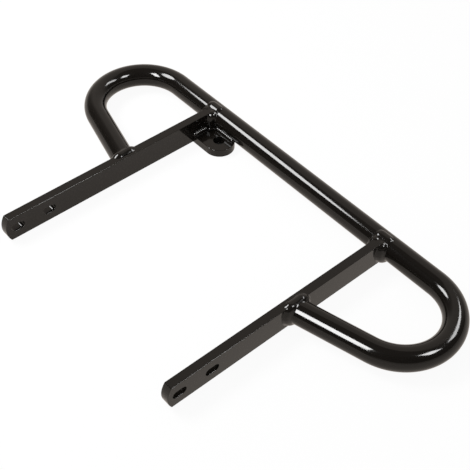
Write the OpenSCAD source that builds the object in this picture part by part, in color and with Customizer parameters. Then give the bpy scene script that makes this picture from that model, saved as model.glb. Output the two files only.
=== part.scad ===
// Rear grab bar for a quad bike, in millimetres.
// One tube is bent round at both ends and welded to two flat mounting arms.
// A drilled plate is welded in the corner of the left arm and the tube.
// The part lies on the lower edges of its arms: X runs along the crossbar,
// the arms reach towards -Y, and the origin is under the middle of the whole.

/* [Grab tube] */
// Outside diameter of the tube
tube_od = 25.4; // [22:0.1:28]
// Wall thickness of the tube
tube_wall = 2.4; // [1.2:0.1:4]
// Straight length of the crossbar, between the two bends
crossbar_len = 396; // [370:1:460]
// Radius of each bend, to the middle of the tube
bend_r = 54.3; // [48:0.1:65]
// Angle that each end of the tube is bent through
bend_angle = 165; // [155:1:175]

/* [Mounting arms] */
// Distance between the middles of the two arms
arm_spacing = 261; // [230:0.5:280]
// Thickness of the flat bar
arm_t = 9.5; // [6:0.1:12]
// Height of the flat bar
arm_h = 28.6; // [26:0.1:34]
// Reach of an arm, from the middle of the crossbar to the nose
arm_reach = 281.4; // [250:0.1:330]
// How far the middle of the bar lies below the middle of the tube
arm_drop = 2.5; // [1.5:0.1:3.5]
// Radius of the nose, seen from the side
nose_r = 25; // [18:0.5:40]
// Rounding of the long edges of the bar
bar_edge_r = 0.8; // [0.3:0.1:1.5]

/* [Bolt slots] */
// Number of slots in each arm
slot_count = 2; // [1:1:3]
// Distance between the middles of neighbouring slots
slot_pitch = 37.5; // [30:0.5:45]
// Distance from the nose to the middle of the first slot
slot_inset = 13.5; // [12:0.1:20]
// Length of a slot, end to end
slot_len = 15.5; // [12:0.1:18]
// Width of a slot
slot_w = 8.7; // [6:0.1:10]

/* [Corner tab] */
// Thickness of the drilled plate
tab_t = 9.5; // [6:0.1:12]
// Radius of the plate's rounded corner
tab_r = 17.5; // [15:0.5:20]
// Centre of the rounded corner, from the inner face of the arm
tab_out = 25; // [22:0.5:30]
// Centre of the rounded corner, in front of the middle of the crossbar
tab_front = 21.5; // [19:0.1:24]
// Diameter of the hole in the plate
tab_hole_d = 12.7; // [8:0.1:14]
// Middle of the hole, from the inner face of the arm
tab_hole_out = 25; // [20:0.5:30]
// Middle of the hole, in front of the middle of the crossbar
tab_hole_front = 22; // [20:0.1:26]

/* [Welds] */
// Size of one drop of a fillet weld, as a radius
drop_r = 6.4; // [5:0.1:7.5]
// Size of one drop where the weld crosses the top of an arm, as a radius
top_drop_r = 6; // [5:0.1:7]
// Size of one drop of the smaller weld round the tab, as a radius
small_drop_r = 4; // [3:0.1:4.5]
// Distance from one drop to the next
drop_step = 4; // [3:0.1:5]
// How far the weld stands above the arm where it crosses the top
weld_crown = 2.6; // [2:0.1:3]
// How far the middle of that weld lies behind the end of the arm
weld_back = 2.5; // [1:0.1:3.5]

/* [Hidden] */
$fn = 48;
drop_fn = 20;
LEFT = -1;
RIGHT = 1;
steel_black = [0.05, 0.05, 0.055];
clear = 1;
hair = 0.01;
leg_overlap = 0.3;
weld_gap = 0.3;

tube_r = tube_od / 2;
bore_r = tube_r - tube_wall;
bar_y = (arm_reach - tube_r) / 2;
bar_z = arm_h / 2 + arm_drop;
arm_x = arm_spacing / 2;
arm_outer = arm_x + arm_t / 2;
arm_inner = arm_x - arm_t / 2;
arm_top = arm_h - bar_z;
arm_bottom = -bar_z;
arm_end = -sqrt(tube_r * tube_r - arm_top * arm_top);
bend_x = crossbar_len / 2;
lean = 180 - bend_angle;
leg_run = (bend_x + bend_r * sin(bend_angle) - arm_outer) / cos(lean);
leg_past = tube_r * tan(lean) + clear;
leg_y = -bend_r * (1 + cos(lean)) - leg_run * sin(lean);
tab_top = arm_bottom + tab_t;
tab_back = sqrt(tube_r * tube_r - tab_top * tab_top);

// Everything below is drawn from the middle of the crossbar, then put here
module at_crossbar() {
    translate([0, bar_y, bar_z]) children();
}

// A side of 1 is the right end and -1 the left end, its mirror image
module on_side(side) {
    scale_x = side > 0 ? 0 : 1;
    mirror([scale_x, 0, 0]) children();
}

// A straight rod in the crossbar's place, for the tube and what is cut round it
module straight_rod(r) {
    translate([-bend_x, 0, 0])
        rotate([0, 90, 0])
            cylinder(r = r, h = crossbar_len);
}

// A rod in the place of one bend
module bend_rod(side, r) {
    on_side(side)
        translate([bend_x, -bend_r, 0])
            rotate_extrude(angle = bend_angle, start = 90 - bend_angle, $fn = 96)
                translate([bend_r, 0])
                    circle(r = r, $fn = 48);
}

// A rod in the place of one return leg, running past the face of its arm.
// It starts a little way inside the bend and is a hair thinner, so that the two
// share a little volume and join as one.
module leg_rod(side, r) {
    on_side(side)
        translate([bend_x, -bend_r, 0])
            rotate([0, 0, 90 - bend_angle])
                translate([bend_r, leg_overlap, 0])
                    rotate([90, 0, 0])
                        cylinder(r = r - hair, h = leg_overlap + leg_run + leg_past);
}

module bent_rod(r) {
    straight_rod(r);
    for (side = [LEFT, RIGHT]) {
        bend_rod(side, r);
        leg_rod(side, r);
    }
}

// Everything between the outer faces of the arms, in front of the crossbar
module between_arms() {
    depth = 2 * arm_reach;
    translate([-arm_outer, -tube_r - clear - depth, -tube_od])
        cube([2 * arm_outer, depth, 2 * tube_od]);
}

module grab_tube() {
    color(steel_black)
        at_crossbar()
            difference() {
                bent_rod(tube_r);
                bent_rod(bore_r);
                between_arms();
            }
}

// The section of the flat bar, with its rolled edges
module bar_section() {
    inner_w = arm_t - 2 * bar_edge_r;
    inner_h = arm_h - 2 * bar_edge_r;
    square([inner_w, arm_h], center = true);
    square([arm_t, inner_h], center = true);
    for (u = [-1, 1], v = [-1, 1])
        translate([u * inner_w / 2, v * inner_h / 2])
            circle(r = bar_edge_r, $fn = 24);
}

// The bar seen from the side: cut straight at the tube, rounded at the nose
module arm_outline() {
    nose_x = arm_reach - nose_r;
    translate([-nose_x, 0])
        circle(r = nose_r, $fn = 120);
    translate([-nose_x, -arm_h])
        square([nose_x + arm_end, 2 * arm_h]);
}

module bolt_slot() {
    half = (slot_len - slot_w) / 2;
    rotate([0, 90, 0]) {
        for (end = [-half, half])
            translate([0, end, 0])
                cylinder(d = slot_w, h = 2 * arm_t, center = true);
        cube([slot_w, 2 * half, 2 * arm_t], center = true);
    }
}

module arm(side) {
    color(steel_black)
        at_crossbar()
            difference() {
                translate([side * arm_x, 0, -arm_drop])
                    difference() {
                        intersection() {
                            rotate([90, 0, 0])
                                linear_extrude(arm_reach)
                                    bar_section();
                            rotate([90, 0, 90])
                                linear_extrude(2 * arm_t, center = true)
                                    arm_outline();
                        }
                        for (i = [0 : slot_count - 1])
                            translate([0, slot_inset + i * slot_pitch - arm_reach, 0])
                                bolt_slot();
                    }
                straight_rod(tube_r);
            }
}

module left_arm() {
    arm(LEFT);
}

module right_arm() {
    arm(RIGHT);
}

// The plate seen from above: square to the arm, rounded at its free corner
module tab_outline() {
    translate([-arm_inner + tab_out, -tab_front])
        circle(r = tab_r, $fn = 120);
    translate([-arm_inner, -tab_front - tab_r])
        square([tab_out, tab_front + tab_r + arm_end]);
}

module corner_tab() {
    color(steel_black)
        at_crossbar()
            difference() {
                translate([0, 0, arm_bottom])
                    linear_extrude(tab_t)
                        intersection() {
                            tab_outline();
                            translate([-arm_inner, -2 * tab_r - tab_front])
                                square([tab_out + tab_r, 2 * tab_r + tab_front + arm_end]);
                        }
                straight_rod(tube_r);
                translate([-arm_inner + tab_hole_out, -tab_hole_front, arm_bottom - clear])
                    cylinder(d = tab_hole_d, h = tab_t + 2 * clear);
            }
}

// One drop of weld metal
module drop(r) {
    sphere(r = r, $fn = drop_fn);
}

// The space of one arm, and all below the part's lower edges
module arm_space(side) {
    translate([side * arm_x - arm_t / 2, -arm_reach, arm_bottom - clear])
        cube([arm_t, arm_reach + arm_end, arm_h + clear]);
    translate([side * arm_x - arm_spacing / 2, -arm_reach, arm_bottom - arm_h])
        cube([arm_spacing, 2 * arm_reach, arm_h]);
}

// All below the tab's top face, inside the left arm
module below_tab_top() {
    translate([-arm_inner - clear, -arm_reach, arm_bottom - clear])
        cube([arm_x, 2 * arm_reach, tab_t + clear]);
}

// Weld down one side of an arm's end, where it is cut to fit the crossbar
module root_side_weld(side, face) {
    first = 90 + acos((arm_top + weld_crown - drop_r) / tube_r);
    last = 270 - acos(arm_top / tube_r);
    sweep = last - first;
    steps = ceil(sweep * PI / 180 * tube_r / drop_step);
    difference() {
        union()
            for (i = [0 : steps])
                translate([side * arm_x + face * arm_t / 2, 0, 0])
                    rotate([first + sweep * i / steps, 0, 0])
                        translate([0, tube_r, 0])
                            drop(drop_r);
        straight_rod(tube_r);
        arm_space(side);
        if (side * face < 0 && side == LEFT)
            below_tab_top();
    }
}

// Weld across the top of an arm's end
module root_top_weld(side) {
    steps = ceil(arm_t / drop_step);
    difference() {
        union()
            for (i = [0 : steps])
                translate([side * arm_x + arm_t * (i / steps - 0.5),
                           arm_end + weld_back,
                           arm_top + weld_crown - top_drop_r])
                    drop(top_drop_r);
        straight_rod(tube_r);
        arm_space(side);
    }
}

module root_weld(side) {
    color(steel_black)
        at_crossbar() {
            for (face = [-1, 1])
                root_side_weld(side, face);
            root_top_weld(side);
        }
}

module left_root_weld() {
    root_weld(LEFT);
}

module right_root_weld() {
    root_weld(RIGHT);
}

// Weld round the end of a return leg, on the outer face of its arm
module return_weld(side) {
    across = tube_r / cos(lean);
    steps = ceil(2 * PI * tube_r / drop_step);
    high = arm_top - drop_r + weld_crown;
    color(steel_black)
        at_crossbar()
            difference() {
                union()
                    for (i = [0 : steps - 1])
                        translate([side * arm_outer,
                                   leg_y + across * cos(360 * i / steps),
                                   min(high, tube_r * sin(360 * i / steps))])
                            drop(drop_r);
                leg_rod(side, tube_r);
                arm_space(side);
            }
}

module left_return_weld() {
    return_weld(LEFT);
}

module right_return_weld() {
    return_weld(RIGHT);
}

// A straight row of drops from one point towards another
module drop_row(from, to, r) {
    steps = ceil(norm(to - from) / drop_step);
    for (i = [0 : steps])
        translate(from + (to - from) * i / steps)
            drop(r);
}

// Weld along the top of the tab, on the inner face of the left arm
module tab_arm_weld() {
    root_reach = tube_r + drop_r;
    root_front = sqrt(root_reach * root_reach - tab_top * tab_top);
    color(steel_black)
        at_crossbar()
            difference() {
                drop_row([-arm_inner, small_drop_r - tab_front - tab_r, tab_top],
                         [-arm_inner, -root_front - small_drop_r - weld_gap, tab_top],
                         small_drop_r);
                arm_space(LEFT);
                below_tab_top();
            }
}

// Weld along the top of the tab, on the crossbar
module tab_tube_weld() {
    tab_edge = tab_out + sqrt(tab_r * tab_r - pow(tab_front - tab_back, 2));
    color(steel_black)
        at_crossbar()
            difference() {
                drop_row([-arm_inner + drop_r + small_drop_r + weld_gap, -tab_back, tab_top],
                         [-arm_inner + tab_edge - small_drop_r, -tab_back, tab_top],
                         small_drop_r);
                straight_rod(tube_r);
                below_tab_top();
            }
}

grab_tube();
left_arm();
right_arm();
corner_tab();
left_root_weld();
right_root_weld();
left_return_weld();
right_return_weld();
tab_arm_weld();
tab_tube_weld();
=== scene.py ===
# %% [markdown]
# # Rear grab bar for a quad bike
# The real part is one steel tube, bent round at both ends and welded to two flat
# mounting arms, with a drilled tab in one corner. All of it is coated gloss black.
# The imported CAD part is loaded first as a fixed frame. Every new piece is built in
# the same metres, and stands exactly where its solid stands.

# %% Load the frame
import math

import bmesh
import bpy
from mathutils import Matrix, Vector


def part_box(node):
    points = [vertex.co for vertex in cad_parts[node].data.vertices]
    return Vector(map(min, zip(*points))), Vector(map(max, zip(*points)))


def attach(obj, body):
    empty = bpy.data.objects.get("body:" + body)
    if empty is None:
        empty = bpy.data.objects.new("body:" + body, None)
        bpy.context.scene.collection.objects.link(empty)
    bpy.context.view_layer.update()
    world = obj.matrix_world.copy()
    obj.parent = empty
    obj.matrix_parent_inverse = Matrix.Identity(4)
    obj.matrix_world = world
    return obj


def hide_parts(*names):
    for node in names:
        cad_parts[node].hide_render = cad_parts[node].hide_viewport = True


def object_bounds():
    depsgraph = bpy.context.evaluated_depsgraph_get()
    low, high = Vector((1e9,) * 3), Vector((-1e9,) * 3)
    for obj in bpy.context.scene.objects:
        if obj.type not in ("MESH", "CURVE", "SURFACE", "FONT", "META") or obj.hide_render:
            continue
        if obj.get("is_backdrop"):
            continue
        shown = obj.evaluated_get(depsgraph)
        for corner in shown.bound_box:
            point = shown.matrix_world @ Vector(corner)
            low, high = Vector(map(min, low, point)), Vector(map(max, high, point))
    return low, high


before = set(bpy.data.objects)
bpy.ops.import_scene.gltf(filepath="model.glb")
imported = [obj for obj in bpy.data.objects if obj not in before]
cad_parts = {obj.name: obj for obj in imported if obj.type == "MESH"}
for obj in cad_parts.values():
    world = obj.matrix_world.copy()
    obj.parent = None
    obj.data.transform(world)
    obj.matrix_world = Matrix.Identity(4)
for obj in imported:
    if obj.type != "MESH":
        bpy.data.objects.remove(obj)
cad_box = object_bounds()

print("nodes:", ", ".join(sorted(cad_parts)))

# %% [markdown]
# ## Sizes
# A maker measures the solids instead of guessing: the tube's middle line, the arms'
# faces and the tab come from the boxes of their nodes. Only what a box can't tell,
# such as a bend's radius, is written down here as a named value.

# %% Measure the frame
MM = 0.001
BEND_R = 54.3 * MM
BEND_ANGLE = math.radians(165)
TUBE_WALL = 2.4 * MM
LEFT = -1
RIGHT = 1

tube_lo, tube_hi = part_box("grab_tube")
arm_lo, arm_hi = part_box("right_arm")
tube_r = (tube_hi.z - tube_lo.z) / 2
bar_y = tube_hi.y - tube_r
bar_z = (tube_hi.z + tube_lo.z) / 2
bend_x = tube_hi.x - tube_r - BEND_R
arm_outer = arm_hi.x
arm_inner = arm_lo.x
arm_x = (arm_outer + arm_inner) / 2
arm_t = arm_outer - arm_inner
arm_back = arm_hi.y
print(f"tube {2 * tube_r / MM:.2f} mm thick, bends start at x {bend_x / MM:.1f} mm")

# %% [markdown]
# ## Working by hand, in code
# Blender's operators act on whatever is selected. So each piece starts with nothing
# else selected, a new primitive is settled at once, which moves its place and turn
# into the mesh, and faces or edges are then picked by where they are.

# %% Helpers for operators
def select_only(obj):
    bpy.ops.object.select_all(action="DESELECT")
    obj.select_set(True)
    bpy.context.view_layer.objects.active = obj


def settle(name):
    """Names the new primitive and moves its place, turn and size into its mesh."""
    obj = bpy.context.active_object
    obj.name = name
    obj.data.name = name
    select_only(obj)
    bpy.ops.object.transform_apply(location=True, rotation=True, scale=True)
    return obj


def edit(obj, mode="EDGE"):
    select_only(obj)
    bpy.ops.object.mode_set(mode="EDIT")
    bpy.ops.mesh.select_mode(type=mode)
    bpy.ops.mesh.select_all(action="SELECT")


def pick(obj, kind, wanted):
    """In edit mode, selects the verts, edges or faces that pass the test, and no others."""
    bpy.ops.mesh.select_all(action="DESELECT")
    mesh = bmesh.from_edit_mesh(obj.data)
    for part in getattr(mesh, kind):
        if wanted(part):
            part.select_set(True)
    mesh.select_flush_mode()
    bmesh.update_edit_mesh(obj.data)


def done_editing():
    bpy.ops.object.mode_set(mode="OBJECT")


def modify(obj, kind, **settings):
    """Adds a modifier with these settings and applies it."""
    select_only(obj)
    modifier = obj.modifiers.new(kind.title(), kind)
    for key, value in settings.items():
        setattr(modifier, key, value)
    bpy.ops.object.modifier_apply(modifier=modifier.name)


def carve(obj, former, solver="EXACT"):
    """Cuts the shape of the former out of obj, and throws the former away."""
    modify(obj, "BOOLEAN", operation="DIFFERENCE", object=former, solver=solver)
    bpy.data.objects.remove(former)


def score(obj, point, normal):
    """Splits the faces that this plane crosses."""
    edit(obj)
    bpy.ops.mesh.bisect(plane_co=point, plane_no=normal)
    done_editing()


def open_edges(obj):
    mesh = bmesh.new()
    mesh.from_mesh(obj.data)
    count = sum(1 for edge in mesh.edges if not edge.is_manifold)
    mesh.free()
    return count


# %% [markdown]
# ## The bent tube
# A tube bender feeds a straight tube and wraps each end round a die. The mesh is made
# in the same order: one ring of edges is extruded along half the crossbar, spun round
# the die's centre, and extruded again as the return leg. A curve with a bevel would
# be quicker, but the spin gives even rings and exact bends. The other half is mirrored.

# %% Half of the tube
RING = 96
BAR_STEPS = 8
BEND_STEPS = 66
LEG_STEPS = 6
LEG_PAST = 10 * MM

bpy.ops.object.select_all(action="DESELECT")
bpy.ops.mesh.primitive_circle_add(
    vertices=RING, radius=tube_r, location=(0, bar_y, bar_z), rotation=(0, math.pi / 2, 0)
)
tube = settle("bent_tube")
bend_centre = Vector((bend_x, bar_y - BEND_R, bar_z))
lean = math.pi - BEND_ANGLE
leg_way = Vector((-math.cos(lean), -math.sin(lean), 0))
leg_start = bend_centre + BEND_R * Vector((math.sin(lean), -math.cos(lean), 0))
leg_run = (leg_start.x - arm_outer) / math.cos(lean)
leg_end = leg_start + leg_run * leg_way

edit(tube)
for step in range(BAR_STEPS):
    bpy.ops.mesh.extrude_region_move(
        TRANSFORM_OT_translate={"value": (bend_x / BAR_STEPS, 0, 0)}
    )
bpy.ops.mesh.spin(
    steps=BEND_STEPS, angle=BEND_ANGLE, center=bend_centre, axis=(0, 0, 1)
)
for step in range(LEG_STEPS):
    bpy.ops.mesh.extrude_region_move(
        TRANSFORM_OT_translate={"value": leg_way * (leg_run + LEG_PAST) / LEG_STEPS}
    )
done_editing()
reach = max(vertex.co.x for vertex in tube.data.vertices)
print("half of the tube reaches x", round(reach / MM, 2), "mm")

# %% [markdown]
# ### Wall and mitred ends
# The normals are set outwards while the tube is still a single skin, because on a
# closed shell the same operator would turn the inner wall round. The return legs are
# then cut flat where they butt against the arms. They meet the arms at a slant, so the
# cut is an oval, and a bridge between its two rims closes it.

# %% Mirror, wall and cut ends
CUT_NEAR = 0.01 * MM

modify(tube, "MIRROR", use_axis=(True, False, False), merge_threshold=CUT_NEAR)
edit(tube)
bpy.ops.mesh.remove_doubles(threshold=CUT_NEAR)
bpy.ops.mesh.normals_make_consistent(inside=False)
done_editing()
modify(tube, "SOLIDIFY", thickness=TUBE_WALL, offset=-1, use_even_offset=True)


def in_leg(face, side):
    middle = face.calc_center_median()
    return side * middle.x > 0 and middle.y < bend_centre.y


def in_cut(edge, side):
    """Whether the edge is an open rim that lies on the outer face of the arm."""
    return edge.is_boundary and all(
        abs(vertex.co.x - side * arm_outer) < CUT_NEAR for vertex in edge.verts
    )


for side in (LEFT, RIGHT):
    edit(tube, "FACE")
    pick(tube, "faces", lambda face: in_leg(face, side))
    bpy.ops.mesh.bisect(
        plane_co=(side * arm_outer, 0, 0), plane_no=(-side, 0, 0), clear_outer=True
    )
    bpy.ops.mesh.select_mode(type="EDGE")
    pick(tube, "edges", lambda edge: in_cut(edge, side))
    bpy.ops.mesh.bridge_edge_loops()
    done_editing()
print("tube:", len(tube.data.polygons), "faces,", open_edges(tube), "open edges")

# %% [markdown]
# ## The mounting arms
# Each arm is sawn from flat bar, its nose is ground to an arc, and two slots are
# punched through it. A slot could be drawn in the face, but cutting it with a former,
# as a punch does, leaves a clean wall all the way through. The former of a slot is a
# block whose corners are bevelled into half circles.

# %% Formers for the cuts
SLOT_LEN = 15.5 * MM
SLOT_W = 8.7 * MM
SLOT_ARC = 16
FORMER_REACH = 600 * MM


def slot_former(place):
    bpy.ops.mesh.primitive_cube_add(
        size=1, location=place, scale=(3 * arm_t, SLOT_LEN, SLOT_W)
    )
    former = settle("slot_former")
    edit(former)
    pick(former, "edges", lambda edge: abs(edge.verts[0].co.x - edge.verts[1].co.x) > arm_t)
    bpy.ops.mesh.bevel(offset=SLOT_W / 2, segments=SLOT_ARC, profile=0.5)
    bpy.ops.mesh.select_all(action="SELECT")
    bpy.ops.mesh.remove_doubles(threshold=CUT_NEAR)
    done_editing()
    return former


def rod(centre, turn, radius, reach):
    bpy.ops.mesh.primitive_cylinder_add(
        vertices=RING, radius=radius, depth=reach, location=centre, rotation=turn
    )
    return settle("rod")


def crossbar_former():
    """A solid rod as thick as the tube, to fit other pieces round it."""
    return rod((0, bar_y, bar_z), (0, math.pi / 2, 0), tube_r, FORMER_REACH)


print("slots are", round(SLOT_LEN / MM, 1), "by", round(SLOT_W / MM, 1), "mm")

# %% [markdown]
# ### Sawn, slotted and fitted
# The nose's arc comes from a wide cylinder, cut down to the bar's height, and its flat
# back face is extruded to the tube. A face with a hole in it spoils a bevel, so each
# face is split through the middle of the slot first. The bevel makes the edges catch a
# thin line of light, and last the end is hollowed to fit the crossbar.

# %% Cut, slot and fit an arm
NOSE_R = 25 * MM
NOSE_RING = 240
SLOT_INSET = 13.5 * MM
SLOT_PITCH = 37.5 * MM
EDGE_R = 0.4 * MM
EDGE_STEPS = 3
SHARP = math.radians(30)
FLAT = math.radians(0.5)
FACING = 0.9


def round_edges(obj):
    modify(
        obj, "BEVEL", width=EDGE_R, segments=EDGE_STEPS, limit_method="ANGLE",
        angle_limit=SHARP, use_clamp_overlap=False,
    )


def make_arm(node, name):
    lo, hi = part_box(node)
    middle = (lo + hi) / 2
    nose = Vector((middle.x, lo.y + NOSE_R, middle.z))
    bpy.ops.mesh.primitive_cylinder_add(
        vertices=NOSE_RING, radius=NOSE_R, depth=arm_t, location=nose,
        rotation=(0, math.pi / 2, 0),
    )
    arm = settle(name)
    for point, away in ((hi, (0, 0, 1)), (lo, (0, 0, -1)), (nose, (0, 1, 0))):
        edit(arm)
        bpy.ops.mesh.bisect(plane_co=point, plane_no=away, use_fill=True, clear_outer=True)
        done_editing()
    edit(arm, "FACE")
    pick(arm, "faces", lambda face: face.normal.y > FACING)
    bpy.ops.mesh.extrude_region_move(TRANSFORM_OT_translate={"value": (0, hi.y - nose.y, 0)})
    bpy.ops.mesh.select_all(action="SELECT")
    bpy.ops.mesh.dissolve_limited(angle_limit=FLAT)
    done_editing()
    for slot in range(2):
        place = Vector((middle.x, lo.y + SLOT_INSET + slot * SLOT_PITCH, middle.z))
        score(arm, place, (0, 1, 0))
        carve(arm, slot_former(place))
    round_edges(arm)
    carve(arm, crossbar_former())
    return arm


left_arm = make_arm("left_arm", "left_arm_bar")
right_arm = make_arm("right_arm", "right_arm_bar")
print("arm:", len(left_arm.data.polygons), "faces,", open_edges(left_arm), "open edges")

# %% [markdown]
# ## The corner tab
# A thick drilled plate sits in the corner of the left arm and the crossbar, for a
# bolt or a flag whip. Its free corner is round, so it starts as a short cylinder: half
# of it is cut away, the flat is extruded to the arm, and the back is cut square.

# %% Cut and drill the tab
TAB_R = 17.5 * MM
TAB_OUT = 25 * MM
TAB_RING = 128
HOLE_RING = 64
HOLE_R = 6.35 * MM
HOLE_OUT = 25 * MM
HOLE_FRONT = 22 * MM

tab_lo, tab_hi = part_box("corner_tab")
tab_t = tab_hi.z - tab_lo.z
corner = Vector((-arm_inner + TAB_OUT, tab_lo.y + TAB_R, (tab_lo.z + tab_hi.z) / 2))
bpy.ops.mesh.primitive_cylinder_add(
    vertices=TAB_RING, radius=TAB_R, depth=tab_t, location=corner
)
tab = settle("drilled_tab")
edit(tab)
bpy.ops.mesh.bisect(plane_co=corner, plane_no=(-1, 0, 0), use_fill=True, clear_outer=True)
bpy.ops.mesh.select_mode(type="FACE")
pick(tab, "faces", lambda face: face.normal.x < -FACING)
bpy.ops.mesh.extrude_region_move(TRANSFORM_OT_translate={"value": (-TAB_OUT, 0, 0)})
bpy.ops.mesh.select_all(action="SELECT")
bpy.ops.mesh.bisect(
    plane_co=(0, arm_back, 0), plane_no=(0, 1, 0), use_fill=True, clear_outer=True
)
bpy.ops.mesh.select_all(action="SELECT")
bpy.ops.mesh.dissolve_limited(angle_limit=FLAT)
done_editing()

hole = Vector((-arm_inner + HOLE_OUT, bar_y - HOLE_FRONT, corner.z))
score(tab, hole, (1, 0, 0))
bpy.ops.mesh.primitive_cylinder_add(
    vertices=HOLE_RING, radius=HOLE_R, depth=4 * tab_t, location=hole
)
carve(tab, settle("drill"))
round_edges(tab)
carve(tab, crossbar_former())
print("tab:", len(tab.data.polygons), "faces,", open_edges(tab), "open edges")

# %% [markdown]
# ## The weld beads
# A welder lays a fillet weld as one small pool after another, and each freezes as a
# drop that overlaps the last. One drop is modelled once, drawn out a little along the
# seam, and copied down every seam. The copies are fused by a voxel remesh, smoothed as
# the thick coat smooths them, and then fitted to the metal that they join.

# %% One drop of weld metal
DROP_R = 6.4 * MM
TOP_DROP_R = 7.5 * MM
SMALL_DROP_R = 4 * MM
DROP_STEP = 4 * MM
DROP_LENGTH = 1.1
DROP_SEGMENTS = 32
DROP_RINGS = 20

bpy.ops.object.select_all(action="DESELECT")
bpy.ops.mesh.primitive_uv_sphere_add(segments=DROP_SEGMENTS, ring_count=DROP_RINGS, radius=1)
drop = settle("weld_drop")
edit(drop, "VERT")
bpy.ops.transform.resize(value=(DROP_LENGTH, 1, 1))
done_editing()


def lay_bead(name, drops):
    """Joins copies of the drop. Each one has a middle, the way of the seam, and a size."""
    copies = []
    for middle, way, size in drops:
        twin = drop.copy()
        twin.data = drop.data.copy()
        bpy.context.scene.collection.objects.link(twin)
        twin.rotation_euler = way.to_track_quat("X", "Z").to_euler()
        twin.location = middle
        twin.scale = (size, size, size)
        copies.append(twin)
    bpy.ops.object.select_all(action="DESELECT")
    for twin in copies:
        twin.select_set(True)
    bpy.context.view_layer.objects.active = copies[0]
    bpy.ops.object.join()
    return settle(name)


print("a drop is", round(2 * DROP_R * DROP_LENGTH / MM, 1), "mm along the seam")

# %% [markdown]
# ### Soft toes
# Weld metal runs out softly onto the steel. So each bead is fused together with a
# backing, rods and blocks that are a little smaller than the real tube, arm and tab,
# and the smoothing fills the corners between them. Cutting with formers at full size
# then takes the backing away, and leaves the bead with its toes. A cut can also leave
# slivers, so only the biggest island of each bead is kept.

# %% Fuse a bead and fit it to the metal
VOXEL = 0.5 * MM
BEAD_SMOOTHING = 70
SKIN = 0.3 * MM
BACKING_REACH = 50 * MM


def block(low, high):
    low, high = Vector(low), Vector(high)
    bpy.ops.mesh.primitive_cube_add(size=1, location=(low + high) / 2, scale=high - low)
    return settle("block")


def arm_former(side):
    return block(*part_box("left_arm" if side == LEFT else "right_arm"))


def tab_former():
    return block((-arm_inner, -BACKING_REACH, -tab_t), (arm_inner, FORMER_REACH, tab_hi.z))


def bench_former():
    """All below the part's lower edges, so that no bead stands lower than the arms."""
    return block((-FORMER_REACH, -FORMER_REACH, -tube_r), (FORMER_REACH, FORMER_REACH, 0))


def arm_backing(side, middle_y):
    half = arm_t / 2 - SKIN
    return block(
        (side * arm_x - half, middle_y - BACKING_REACH / 2, 0),
        (side * arm_x + half, min(middle_y + BACKING_REACH / 2, arm_back), arm_hi.z - SKIN),
    )


def tab_backing():
    return block(
        (-arm_inner - SKIN, tab_lo.y + SKIN, 0),
        (-arm_inner + TAB_OUT + TAB_R, bar_y, tab_hi.z - SKIN),
    )


def crossbar_backing(x):
    return rod((x, bar_y, bar_z), (0, math.pi / 2, 0), tube_r - SKIN, BACKING_REACH)


def drop_slivers(bead):
    """Keeps the biggest island of the mesh, and deletes the slivers that a cut can leave."""
    name = bead.name
    edit(bead)
    bpy.ops.mesh.separate(type="LOOSE")
    done_editing()
    islands = sorted(bpy.context.selected_objects, key=lambda island: len(island.data.vertices))
    for sliver in islands[:-1]:
        bpy.data.objects.remove(sliver)
    islands[-1].name = name
    islands[-1].data.name = name
    return islands[-1]


def fuse_bead(bead, backing, formers, smoothing=BEAD_SMOOTHING):
    bpy.ops.object.select_all(action="DESELECT")
    for piece in (bead, *backing):
        piece.select_set(True)
    bpy.context.view_layer.objects.active = bead
    bpy.ops.object.join()
    modify(bead, "REMESH", mode="VOXEL", voxel_size=VOXEL)
    modify(bead, "SMOOTH", factor=0.5, iterations=smoothing)
    for former in (*formers, bench_former()):
        carve(bead, former, solver="MANIFOLD")
    bead = drop_slivers(bead)
    print(bead.name, len(bead.data.polygons), "faces,", open_edges(bead), "open edges")
    return bead


# %% [markdown]
# ### Where the beads run
# At the root of each arm a bead goes down both sides of the saddle cut, and a bigger
# one crosses the top. Another goes all round the slanting end of each return leg, so
# its path is an ellipse, which Python works out step by step from an angle.

# %% Lay the root and return beads
WELD_CROWN = 2.6 * MM
SIDE_CROWN = 0.4 * MM
WELD_BACK = 3 * MM
RETURN_SINK = 1.2 * MM
arm_top = arm_hi.z - bar_z


def root_drops(side):
    first = math.pi / 2 + math.acos((arm_top + SIDE_CROWN - DROP_R) / tube_r)
    last = 3 * math.pi / 2 - math.acos(arm_top / tube_r)
    sweep = last - first
    steps = math.ceil(sweep * tube_r / DROP_STEP)
    for face in (-1, 1):
        for step in range(steps + 1):
            turn = first + sweep * step / steps
            spoke = Vector((0, math.cos(turn), math.sin(turn)))
            middle = Vector((side * arm_x + face * arm_t / 2, bar_y, bar_z)) + tube_r * spoke
            yield middle, Vector((0, -spoke.z, spoke.y)), DROP_R
    steps = math.ceil(arm_t / DROP_STEP)
    for step in range(steps + 1):
        middle = Vector((
            side * arm_x + arm_t * (step / steps - 0.5),
            arm_back + WELD_BACK,
            arm_hi.z + WELD_CROWN - TOP_DROP_R,
        ))
        yield middle, Vector((1, 0, 0)), TOP_DROP_R


def return_drops(side):
    sunk_r = tube_r - RETURN_SINK
    across = sunk_r / math.cos(lean)
    steps = math.ceil(2 * math.pi * tube_r / DROP_STEP)
    high = arm_top - DROP_R + WELD_CROWN
    for step in range(steps):
        turn = 2 * math.pi * step / steps
        middle = Vector((
            side * (arm_outer - RETURN_SINK),
            leg_end.y + across * math.cos(turn),
            bar_z + min(high, sunk_r * math.sin(turn)),
        ))
        way = Vector((0, -across * math.sin(turn), sunk_r * math.cos(turn)))
        yield middle, way, DROP_R


def leg_rod(side, radius, reach, past):
    """A rod on the return leg's line that runs this far past the arm's outer face."""
    middle = leg_end + (past - reach / 2) * leg_way
    return rod((side * middle.x, middle.y, bar_z), (0, math.pi / 2, side * lean), radius, reach)


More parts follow.
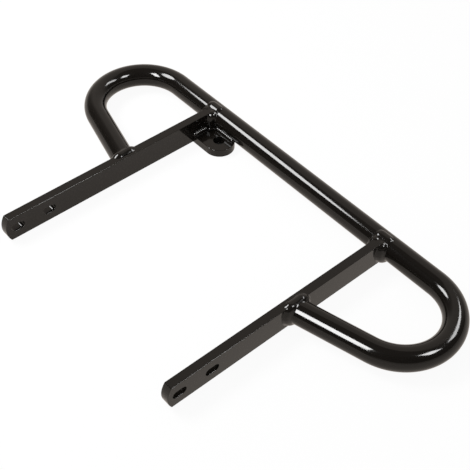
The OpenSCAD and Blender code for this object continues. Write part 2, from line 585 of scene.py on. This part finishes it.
beads = {}
for side, name in ((LEFT, "left"), (RIGHT, "right")):
    backing = [crossbar_backing(side * arm_x), arm_backing(side, arm_back)]
    formers = [crossbar_former(), arm_former(side)]
    if side == LEFT:
        backing.append(tab_backing())
        formers.append(tab_former())
    bead = lay_bead(name + "_root_bead", root_drops(side))
    beads[name + "_root_weld"] = fuse_bead(bead, backing, formers)

    backing = [
        leg_rod(side, tube_r - SKIN, BACKING_REACH, arm_t / 2), arm_backing(side, leg_end.y)
    ]
    formers = [leg_rod(side, tube_r, FORMER_REACH, FORMER_REACH / 2), arm_former(side)]
    bead = lay_bead(name + "_return_bead", return_drops(side))
    beads[name + "_return_weld"] = fuse_bead(bead, backing, formers)

# %% [markdown]
# ### The tab's beads
# Two short straight beads hold the top of the tab, one on the arm and one on the
# crossbar. Their drops are small and hardly smoothed, so that each one keeps a glint.

# %% Lay the tab's beads
WELD_GAP = 0.3 * MM
SMALL_DROP_STEP = 2.8 * MM
SMALL_SMOOTHING = 2


def row_of_drops(start, end):
    steps = math.ceil((end - start).length / SMALL_DROP_STEP)
    for step in range(steps + 1):
        yield start.lerp(end, step / steps), end - start, SMALL_DROP_R


tab_top = tab_hi.z - bar_z
tab_back = math.sqrt(tube_r ** 2 - tab_top ** 2)
root_front = math.sqrt((tube_r + DROP_R) ** 2 - tab_top ** 2)
tab_edge = TAB_OUT + math.sqrt(TAB_R ** 2 - (bar_y - tab_back - corner.y) ** 2)
arm_row = row_of_drops(
    Vector((-arm_inner, tab_lo.y + SMALL_DROP_R, tab_hi.z)),
    Vector((-arm_inner, bar_y - root_front - SMALL_DROP_R - WELD_GAP, tab_hi.z)),
)
tube_row = row_of_drops(
    Vector((-arm_inner + DROP_R + SMALL_DROP_R + WELD_GAP, bar_y - tab_back, tab_hi.z)),
    Vector((-arm_inner + tab_edge - SMALL_DROP_R, bar_y - tab_back, tab_hi.z)),
)
beads["tab_arm_weld"] = fuse_bead(
    lay_bead("tab_arm_bead", arm_row), [], [arm_former(LEFT), tab_former()], SMALL_SMOOTHING
)
beads["tab_tube_weld"] = fuse_bead(
    lay_bead("tab_tube_bead", tube_row), [], [crossbar_former(), tab_former()], SMALL_SMOOTHING
)
bpy.data.objects.remove(drop)
print("beads:", ", ".join(sorted(beads)))

# %% [markdown]
# ## Finishes
# A finish is a small network of nodes. To keep it readable, a Wire stands for one
# socket, and sums written in Python become Math nodes.

# %% Helpers for finishes
class Wire:
    """One output socket. Arithmetic on it adds Math nodes to its finish."""

    def __init__(self, finish, socket):
        self.finish = finish
        self.socket = socket

    def maths(self, operation, first, second):
        return self.finish.node(
            "ShaderNodeMath", {"operation": operation}, {0: first, 1: second}
        )

    def __add__(self, other):
        return self.maths("ADD", self, other)

    def __radd__(self, other):
        return self.maths("ADD", other, self)

    def __mul__(self, other):
        return self.maths("MULTIPLY", self, other)

    def __rmul__(self, other):
        return self.maths("MULTIPLY", other, self)


class Finish:
    """The node tree of a material or of the world."""

    def __init__(self, owner):
        owner.use_nodes = True
        self.owner = owner
        self.tree = owner.node_tree
        self.tree.nodes.clear()

    def node(self, kind, settings=None, sockets=None, output=0):
        """Adds one node: its settings first, then the values or wires of its sockets."""
        made = self.tree.nodes.new(kind)
        for key, value in (settings or {}).items():
            if key == "stops":
                ramp = made.color_ramp.elements
                ramp.remove(ramp[1])
                ramp[0].position = value[0][0]
                for place, colour in value[1:]:
                    ramp.new(place)
                for stop, (place, colour) in zip(ramp, value):
                    stop.color = colour
            else:
                setattr(made, key, value)
        for key, value in (sockets or {}).items():
            if isinstance(value, Wire):
                self.tree.links.new(value.socket, made.inputs[key])
            else:
                made.inputs[key].default_value = value
        return Wire(self, made.outputs[output]) if made.outputs else None


print("helpers for finishes are ready")

# %% [markdown]
# ### Gloss black powder coat
# Powder coat melts into a thick glossy skin. Close up it has a faint orange peel, a
# few millimetres from crest to crest, which makes the edges of reflections waver, and
# its gloss varies slowly over the part. Over a weld it bridges the ripples and shows
# a coarser skin. The black under the gloss is almost all reflection.

# %% Mix the coats
COAT_BLACK = (0.0050, 0.0040, 0.0032, 1)
COAT_WORN_BLACK = (0.0070, 0.0058, 0.0048, 1)
COAT_IOR = 1.4
DRIFT_SCALE = 28.0
DRIFT_DETAIL = 3.0
DRIFT_ROUGHNESS = 0.5
PEEL_DETAIL = 2.0
PEEL_ROUGHNESS = 0.45


def powder_coat(name, peel_size, peel_depth, dull, vary):
    """A coat whose roughness runs from dull up to dull plus vary."""
    finish = Finish(bpy.data.materials.new(name))
    place = finish.node("ShaderNodeTexCoord", output="Object")
    drift = finish.node(
        "ShaderNodeTexNoise", {"noise_dimensions": "3D"},
        {
            "Vector": place, "Scale": DRIFT_SCALE,
            "Detail": DRIFT_DETAIL, "Roughness": DRIFT_ROUGHNESS,
        },
    )
    peel = finish.node(
        "ShaderNodeTexNoise", {"noise_dimensions": "3D"},
        {
            "Vector": place, "Scale": 1 / peel_size,
            "Detail": PEEL_DETAIL, "Roughness": PEEL_ROUGHNESS,
        },
    )
    colour = finish.node(
        "ShaderNodeMix", {"data_type": "RGBA"},
        {0: drift, 6: COAT_BLACK, 7: COAT_WORN_BLACK}, output=2,
    )
    bump = finish.node(
        "ShaderNodeBump", None, {"Strength": 1.0, "Distance": peel_depth, "Height": peel}
    )
    coat = finish.node(
        "ShaderNodeBsdfPrincipled", None,
        {
            "Base Color": colour,
            "Roughness": dull + vary * drift,
            "IOR": COAT_IOR,
            "Normal": bump,
        },
    )
    finish.node("ShaderNodeOutputMaterial", None, {"Surface": coat})
    return finish.owner


coat_on_steel = powder_coat(
    "gloss_black_coat", peel_size=2.6 * MM, peel_depth=0.0012 * MM, dull=0.085, vary=0.03
)
coat_on_weld = powder_coat(
    "gloss_black_coat_on_weld", peel_size=2.0 * MM, peel_depth=0.003 * MM, dull=0.10, vary=0.05
)
print("coats:", coat_on_steel.name, "and", coat_on_weld.name)

# %% [markdown]
# ### Coat on every piece
# The part is coated after welding, so every piece gets the same black. Shading is
# smooth up to a set angle, and weighted normals keep the flat faces flat beside their
# small round edges. Each piece then takes the place of its solid.

# %% Dress the pieces
def dress(piece, node, coat):
    select_only(piece)
    bpy.ops.object.shade_smooth_by_angle(angle=SHARP)
    modify(piece, "WEIGHTED_NORMAL", keep_sharp=True)
    piece.data.materials.clear()
    piece.data.materials.append(coat)
    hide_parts(node)
    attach(piece, "root")
    print(piece.name, "stands for", node)


dress(tube, "grab_tube", coat_on_steel)
dress(left_arm, "left_arm", coat_on_steel)
dress(right_arm, "right_arm", coat_on_steel)
dress(tab, "corner_tab", coat_on_steel)
for node, bead in beads.items():
    dress(bead, node, coat_on_weld)

# %% [markdown]
# ## The studio
# Gloss black shows the studio more than itself, so the studio is half of the look. It
# starts with the camera, a long lens that looks down on the part from the front right.
# Its place and turn are given as one matrix, because that also allows a small roll.

# %% Camera
VIEW_AZIMUTH = math.radians(47.3755)
VIEW_ELEVATION = math.radians(46.9853)
VIEW_DISTANCE = 0.96644
VIEW_ROLL = math.radians(2.175)
VIEW_TARGET = Vector((0.02533, 0.02625, 0.0168))
FOCAL_PIXELS = 957.73
PHOTO_PIXELS = 470
SENSOR_WIDTH = 36
CLIP_START = 50 * MM


def studio_way(azimuth, elevation):
    """The way from the part towards a place in the studio. Azimuth 0 is the front, -Y."""
    flat = math.cos(elevation)
    return Vector((math.sin(azimuth) * flat, -math.cos(azimuth) * flat, math.sin(elevation)))


camera = bpy.data.objects.new("camera", bpy.data.cameras.new("camera"))
bpy.context.scene.collection.objects.link(camera)
back_way = studio_way(VIEW_AZIMUTH, VIEW_ELEVATION)
level = Vector((math.cos(VIEW_AZIMUTH), math.sin(VIEW_AZIMUTH), 0))
upright = back_way.cross(level)
right_way = level * math.cos(VIEW_ROLL) + upright * math.sin(VIEW_ROLL)
up_way = upright * math.cos(VIEW_ROLL) - level * math.sin(VIEW_ROLL)
turn = Matrix((right_way, up_way, back_way)).transposed()
eye = VIEW_TARGET + VIEW_DISTANCE * back_way
camera.matrix_world = Matrix.Translation(eye) @ turn.to_4x4()
camera.data.sensor_width = SENSOR_WIDTH
camera.data.lens = SENSOR_WIDTH * FOCAL_PIXELS / PHOTO_PIXELS
camera.data.clip_start = CLIP_START
bpy.context.scene.camera = camera
print("camera at", [round(value, 3) for value in eye])

# %% [markdown]
# ### Lamps
# A large softbox stands on the left, a tall strip in front, and two windows are behind.
# They make the white streaks on the tube. An area lamp's power is spread over its face,
# so the power is worked out from the size, and a bigger lamp isn't brighter to look at.

# %% Softboxes
def softbox(name, azimuth, elevation, wide, high, strength, away=2.0, shape="RECTANGLE",
            lights_floor=True):
    """A lamp seen from the part under these angles, in degrees, some metres away."""
    data = bpy.data.lights.new(name, "AREA")
    data.shape = shape
    data.size = 2 * away * math.tan(math.radians(wide) / 2)
    data.size_y = 2 * away * math.tan(math.radians(high) / 2)
    data.energy = 4 * strength * data.size * data.size_y
    lamp = bpy.data.objects.new(name, data)
    bpy.context.scene.collection.objects.link(lamp)
    way = studio_way(math.radians(azimuth), math.radians(elevation))
    lamp.location = VIEW_TARGET + away * way
    lamp.rotation_euler = (-way).to_track_quat("-Z", "Y").to_euler()
    lamp.visible_camera = False
    lamp.visible_diffuse = lights_floor
    return lamp


# azimuth, elevation, width and height in degrees, and strength
softbox("main_softbox", -60, 49, 28, 19, 14, away=1.2, shape="ELLIPSE")
softbox("front_strip", 0, 47, 12, 28, 26, lights_floor=False)
softbox("side_window", 115, 52, 15, 15, 20, lights_floor=False)
softbox("back_window", 167, 45, 30, 9.5, 12, lights_floor=False)
lamps = [obj.name for obj in bpy.context.scene.objects if obj.type == "LIGHT"]
print("lamps:", ", ".join(lamps))

# %% [markdown]
# ### Grey room
# Only reflections see the room. It is a tall round screen with a ceiling over it:
# nearly black in front, so that the coat looks black there, darker grey on the right,
# and pale behind on the left, where daylight comes in. Its foot is paler, because the
# white sweep lights it. The glow runs softly round the wall, from a radial gradient.

# %% Glowing screens
ROOM_TINT = Vector((1.0, 0.90, 0.81))
GRADIENT_START = -90
CEILING_GLOW = 0.16
# azimuth in degrees from -90, at the left, and the glow there
WALL_GLOWS = ((-90, 0.18), (-66, 0.05), (0, 0.05), (20, 0.12), (160, 0.13), (185, 0.50),
              (200, 0.60), (250, 0.60), (269, 0.20))
FOOT_GLOWS = ((-90, 0.30), (-60, 0.10), (8, 0.10), (30, 0.55), (180, 0.60), (200, 0.75),
              (250, 0.75), (269, 0.32))


def screen(name, glows):
    """A glow that changes with the azimuth. The gradient starts at the left."""
    finish = Finish(bpy.data.materials.new(name))
    place = finish.node("ShaderNodeTexCoord", output="Object")
    radial = finish.node(
        "ShaderNodeTexGradient", {"gradient_type": "RADIAL"}, {"Vector": place}, output=1
    )
    stops = [
        ((azimuth - GRADIENT_START) / 360, (*(glow * ROOM_TINT), 1)) for azimuth, glow in glows
    ]
    colour = finish.node("ShaderNodeValToRGB", {"stops": stops}, {"Fac": radial})
    light = finish.node("ShaderNodeEmission", None, {"Color": colour, "Strength": 1.0})
    finish.node("ShaderNodeOutputMaterial", None, {"Surface": light})
    return finish.owner


def paint(obj, glow, wanted):
    """Gives the faces that pass the test this material."""
    obj.data.materials.append(glow)
    slot = len(obj.data.materials) - 1
    for face in obj.data.polygons:
        if wanted(face):
            face.material_index = slot


print("screens:", len(WALL_GLOWS), "tones round the wall,", len(FOOT_GLOWS), "round its foot")

# %% Build the room
ROOM_R = 3.2
ROOM_LOW = math.radians(1)
ROOM_FOOT = math.radians(12)
ROOM_HIGH = math.radians(64)
ROOM_RING = 72
LEVEL = 0.5

room_bottom = ROOM_R * math.tan(ROOM_LOW)
room_foot = ROOM_R * math.tan(ROOM_FOOT)
room_top = ROOM_R * math.tan(ROOM_HIGH)
bpy.ops.object.select_all(action="DESELECT")
bpy.ops.mesh.primitive_cylinder_add(
    vertices=ROOM_RING, radius=ROOM_R, depth=room_top - room_bottom,
    location=(0, 0, (room_top + room_bottom) / 2),
)
room = settle("room")
edit(room, "FACE")
pick(room, "faces", lambda face: face.normal.z < -LEVEL)
bpy.ops.mesh.delete(type="FACE")
done_editing()
score(room, (0, 0, room_foot), (0, 0, 1))
ceiling_glows = ((GRADIENT_START, CEILING_GLOW), (GRADIENT_START + 359, CEILING_GLOW))
paint(room, screen("ceiling", ceiling_glows), lambda face: face.normal.z > LEVEL)
paint(
    room, screen("wall", WALL_GLOWS),
    lambda face: abs(face.normal.z) < LEVEL and face.center.z > room_foot,
)
paint(
    room, screen("foot", FOOT_GLOWS),
    lambda face: abs(face.normal.z) < LEVEL and face.center.z < room_foot,
)
room.visible_camera = False
room.visible_diffuse = False
room.visible_shadow = False
room.visible_transmission = False
room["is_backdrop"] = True
print("room:", len(room.data.polygons), "faces in", len(room.data.materials), "glows")

# %% [markdown]
# ### White sweep
# The floor is white to the camera and a little darker and warmer to reflections,
# through the Light Path node. A part of it stays a plain pale surface, so that the
# part's shadow shows on it. A small patch under the tab's hole is a painted shadow:
# its glow is switched off there, so it stays dark. Each of these is a choice between
# two shaders, made by a Mix Shader.

# %% Floor and background
FLOOR_GLOW = 0.94
FLOOR_IN_GLOSS = 0.76
FLOOR_SIZE = 30
FLOOR_PALE = (0.86, 0.86, 0.86, 1)
WHITE = (1, 1, 1, 1)
# Radius of the painted shadow on the floor, round the axis of the tab's hole.
PAINTED_SHADOW_R = 1.2 * HOLE_R
SKY_ON_PART = 0.55


def ray_kinds(finish):
    """The Light Path outputs for rays that should see the white background."""
    path = finish.node("ShaderNodeLightPath").socket.node
    return [Wire(finish, path.outputs[kind])
            for kind in ("Is Camera Ray", "Is Glossy Ray", "Is Transmission Ray")]


def any_of(rays):
    return rays[0].maths("MAXIMUM", rays[0].maths("MAXIMUM", rays[0], rays[1]), rays[2])


bpy.ops.object.select_all(action="DESELECT")
bpy.ops.mesh.primitive_plane_add(size=FLOOR_SIZE, location=(0, 0, 0))
floor = settle("floor")
finish = Finish(bpy.data.materials.new("white_sweep"))
pale = finish.node("ShaderNodeBsdfDiffuse", None, {"Color": FLOOR_PALE})
place = finish.node("ShaderNodeTexCoord", output="Object")
from_hole = finish.node(
    "ShaderNodeVectorMath", {"operation": "DISTANCE"},
    {0: place, 1: (hole.x, hole.y, 0)}, output=1,
)
# Painted shadow: within this radius of the hole the floor has no glow and stays dark.
outside_painted_shadow = from_hole.maths("GREATER_THAN", from_hole, PAINTED_SHADOW_R)
floor_rays = ray_kinds(finish)
painted_shadow = finish.node("ShaderNodeEmission", None, {"Strength": 0.0})
white = finish.node("ShaderNodeEmission", None, {"Color": WHITE, "Strength": 1.0})
in_gloss = finish.node(
    "ShaderNodeEmission", None, {"Color": (*ROOM_TINT, 1), "Strength": FLOOR_IN_GLOSS}
)
glow = finish.node("ShaderNodeMixShader", None, {0: floor_rays[1], 1: white, 2: in_gloss})
glow = finish.node("ShaderNodeMixShader", None, {0: outside_painted_shadow, 1: painted_shadow, 2: glow})
mixed = finish.node(
    "ShaderNodeMixShader", None, {0: any_of(floor_rays) * FLOOR_GLOW, 1: pale, 2: glow}
)
finish.node("ShaderNodeOutputMaterial", None, {"Surface": mixed})
floor.data.materials.append(finish.owner)
floor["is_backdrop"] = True

world = bpy.data.worlds.new("studio")
bpy.context.scene.world = world
sky = Finish(world)
backdrop = sky.node("ShaderNodeBackground", None, {"Color": WHITE, "Strength": 1.0})
sky_light = sky.node("ShaderNodeBackground", None, {"Color": WHITE, "Strength": SKY_ON_PART})
seen = sky.node(
    "ShaderNodeMixShader", None, {0: any_of(ray_kinds(sky)), 1: sky_light, 2: backdrop}
)
sky.node("ShaderNodeOutputWorld", None, {"Surface": seen})
bpy.context.scene.view_settings.view_transform = "Standard"
print("floor and background are white")

# %% [markdown]
# ## Print the size
# The dressed part has to stay inside the CAD part's box, so both boxes are
# printed.

# %% Print both boxes
visual_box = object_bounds()
for name, box in (("CAD box", cad_box), ("visual box", visual_box)):
    print(name, [[round(value / MM, 2) for value in corner_point] for corner_point in box])
